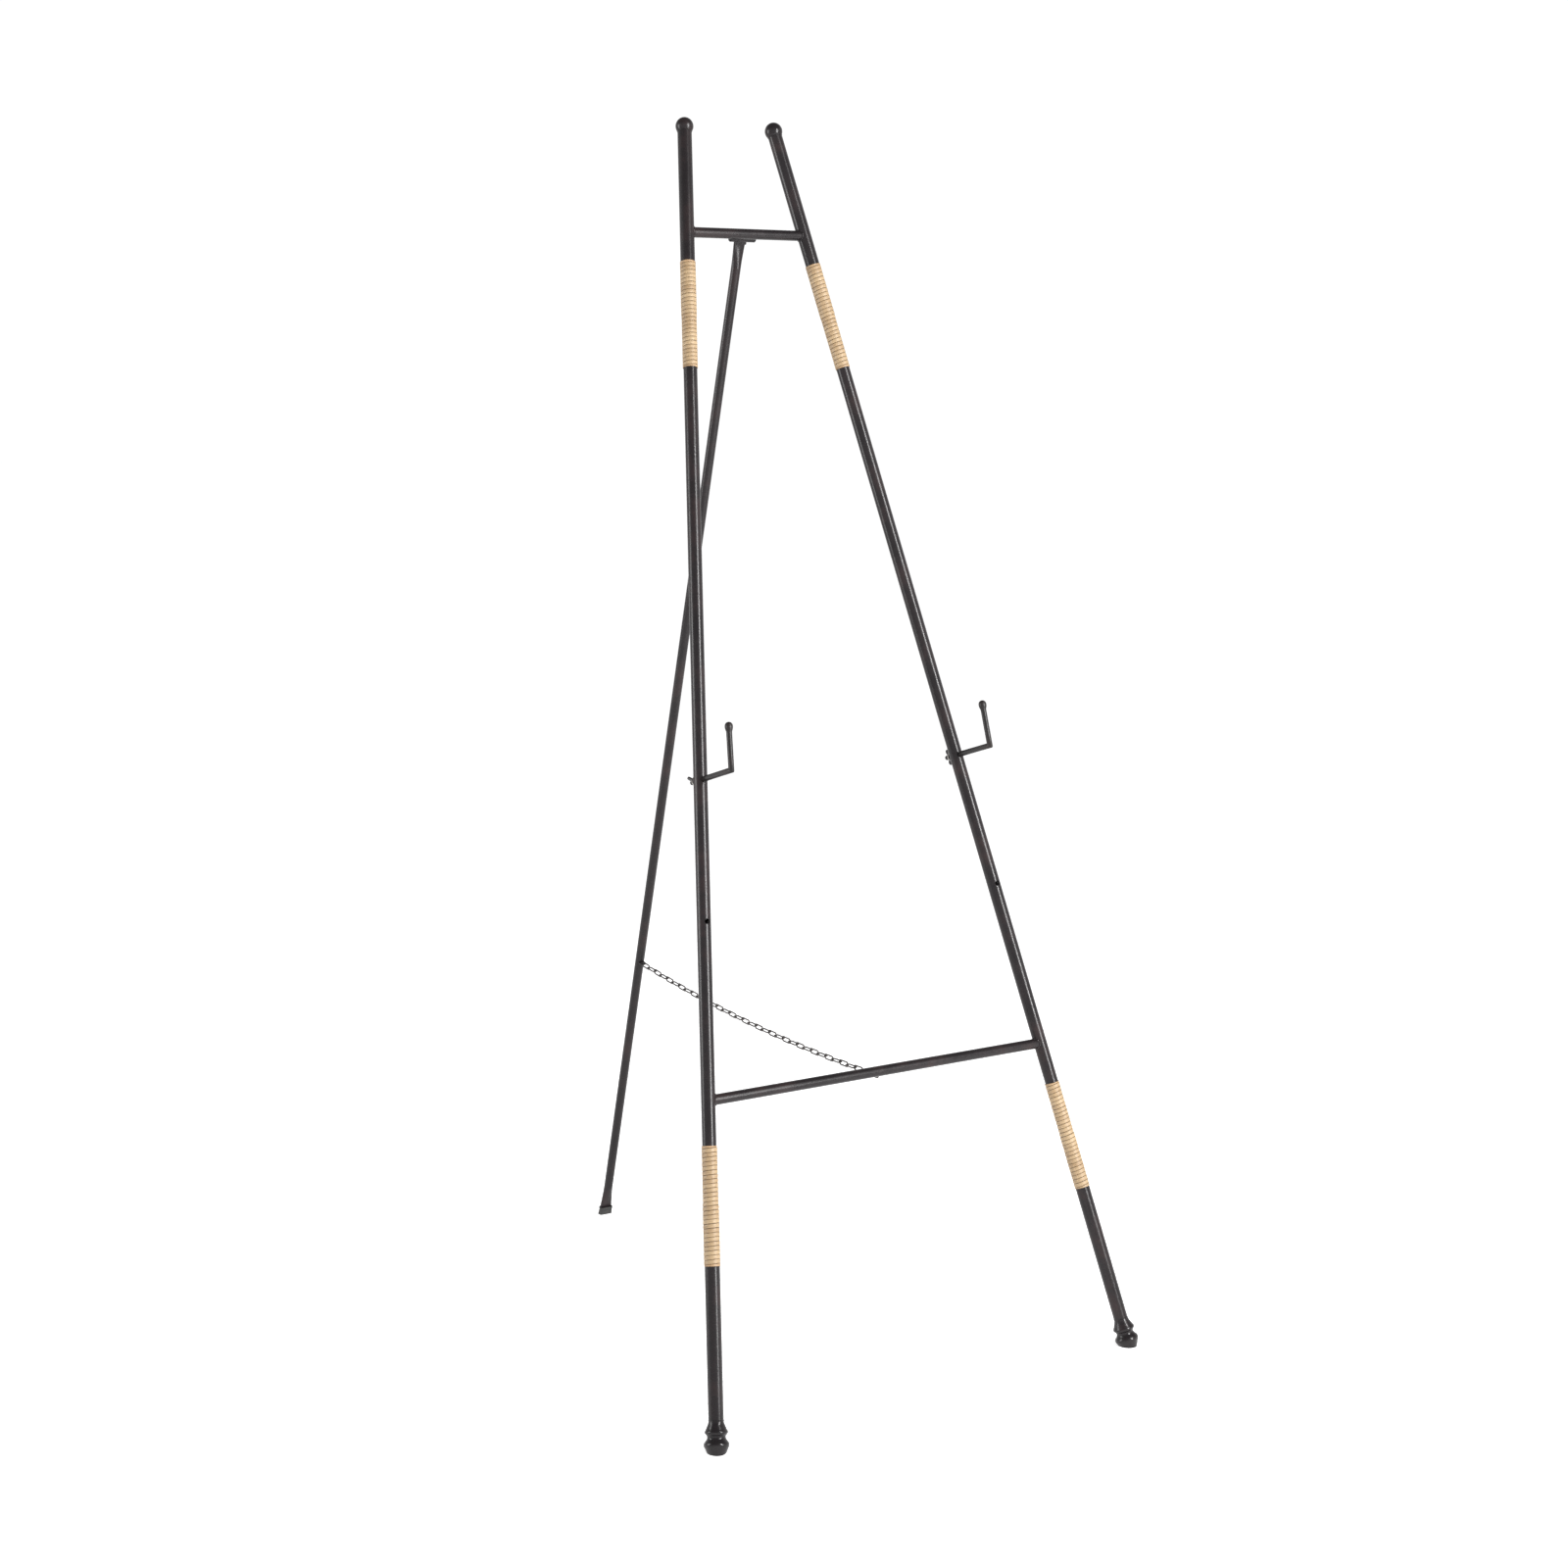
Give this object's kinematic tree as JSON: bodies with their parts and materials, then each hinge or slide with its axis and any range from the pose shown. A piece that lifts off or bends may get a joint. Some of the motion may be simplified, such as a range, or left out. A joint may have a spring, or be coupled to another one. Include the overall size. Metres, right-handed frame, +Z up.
{
  "type": "floor display easel",
  "caption": "Folding display easel: leaning A-shaped iron frame with cane bindings, ball finials, turned feet, swivelling picture hooks and a hinged rear leg on a stay chain.",
  "frame": {"origin": "on the floor, under the middle of the easel's bounding box", "axes": "+Z up, the front where the picture stands faces -Y, +X to the right seen from the front"},
  "size_m": [0.6296, 0.8166, 1.507],
  "materials": {
    "black_iron": "satin black paint on iron tube, slightly worn",
    "bare_steel": "plain steel, dull",
    "chain_steel": "dark blackened steel wire",
    "cane": "natural split cane, close wound",
    "rubber": "matt black rubber"
  },
  "bodies": {
    "front_frame": {"left_ball_finial": "black_iron", "left_upper_tube": "black_iron", "left_upper_spigot": "bare_steel", "left_upper_binding": "cane", "left_middle_tube": "black_iron", "left_lower_spigot": "bare_steel", "left_lower_binding": "cane", "left_lower_tube": "black_iron", "left_foot": "black_iron", "right_ball_finial": "black_iron", "right_upper_tube": "black_iron", "right_upper_spigot": "bare_steel", "right_upper_binding": "cane", "right_middle_tube": "black_iron", "right_lower_spigot": "bare_steel", "right_lower_binding": "cane", "right_lower_tube": "black_iron", "right_foot": "black_iron", "top_crossbar": "black_iron", "lower_crossbar": "black_iron", "hinge_fixed_leaf": "black_iron", "hinge_pin": "black_iron", "chain_front_eye": "black_iron"},
    "rear_leg": {"rear_leg_tube": "black_iron", "rear_leg_shoe": "rubber", "hinge_moving_leaf": "black_iron", "chain_rear_eye": "black_iron"},
    "front_chain": {"chain_front_run": "chain_steel"},
    "rear_chain": {"chain_rear_run": "chain_steel"},
    "left_hook": {"left_hook": "black_iron"},
    "left_washer": {"left_hook_washer": "bare_steel"},
    "left_nut": {"left_wing_nut": "black_iron"},
    "right_hook": {"right_hook": "black_iron"},
    "right_washer": {"right_hook_washer": "bare_steel"},
    "right_nut": {"right_wing_nut": "black_iron"}
  },
  "joints": [
    {"name": "rear_leg_fold", "type": "hinge", "parent": "front_frame", "child": "rear_leg", "pos_m": [0, 0.03107, 1.36062], "axis": [-1, 0, 0], "range_deg": [0, 26], "deforming": ["chain_front_run", "chain_rear_run"]},
    {"name": "front_chain_swing", "type": "hinge", "parent": "front_frame", "child": "front_chain", "pos_m": [0, -0.27486, 0.36381], "axis": [-1, 0, 0], "range_deg": [0, 81.48]},
    {"name": "rear_chain_swing", "type": "hinge", "parent": "rear_leg", "child": "rear_chain", "pos_m": [0, 0.28708, 0.3901], "axis": [1, 0, 0], "range_deg": [0, 97.54]},
    {"name": "left_hook_turn", "type": "hinge", "parent": "front_frame", "child": "left_hook", "pos_m": [-0.18679, -0.17475, 0.72553], "axis": [0, -0.9563, 0.2924], "continuous": true},
    {"name": "left_washer_slide", "type": "slide", "parent": "left_hook", "child": "left_washer", "axis": [0, 0.9563, -0.2924], "range_m": [0, 0.004]},
    {"name": "left_nut_spin", "type": "hinge", "parent": "left_washer", "child": "left_nut", "pos_m": [-0.18679, -0.17475, 0.72553], "axis": [0, -0.9563, 0.2924], "range_deg": [0, 1440]},
    {"name": "right_hook_turn", "type": "hinge", "parent": "front_frame", "child": "right_hook", "pos_m": [0.18679, -0.17475, 0.72553], "axis": [0, -0.9563, 0.2924], "continuous": true},
    {"name": "right_washer_slide", "type": "slide", "parent": "right_hook", "child": "right_washer", "axis": [0, 0.9563, -0.2924], "range_m": [0, 0.004]},
    {"name": "right_nut_spin", "type": "hinge", "parent": "right_washer", "child": "right_nut", "pos_m": [0.18679, -0.17475, 0.72553], "axis": [0, -0.9563, 0.2924], "range_deg": [0, 1440]}
  ],
  "couplings": [
    {"joint": "front_chain_swing", "follows": "rear_leg_fold", "ratio": 3.1333},
    {"joint": "rear_chain_swing", "follows": "rear_leg_fold", "ratio": 3.7511},
    {"joint": "left_nut_spin", "follows": "left_washer_slide", "rad_per_m": 6283.2},
    {"joint": "right_nut_spin", "follows": "right_washer_slide", "rad_per_m": 6283.2}
  ]
}
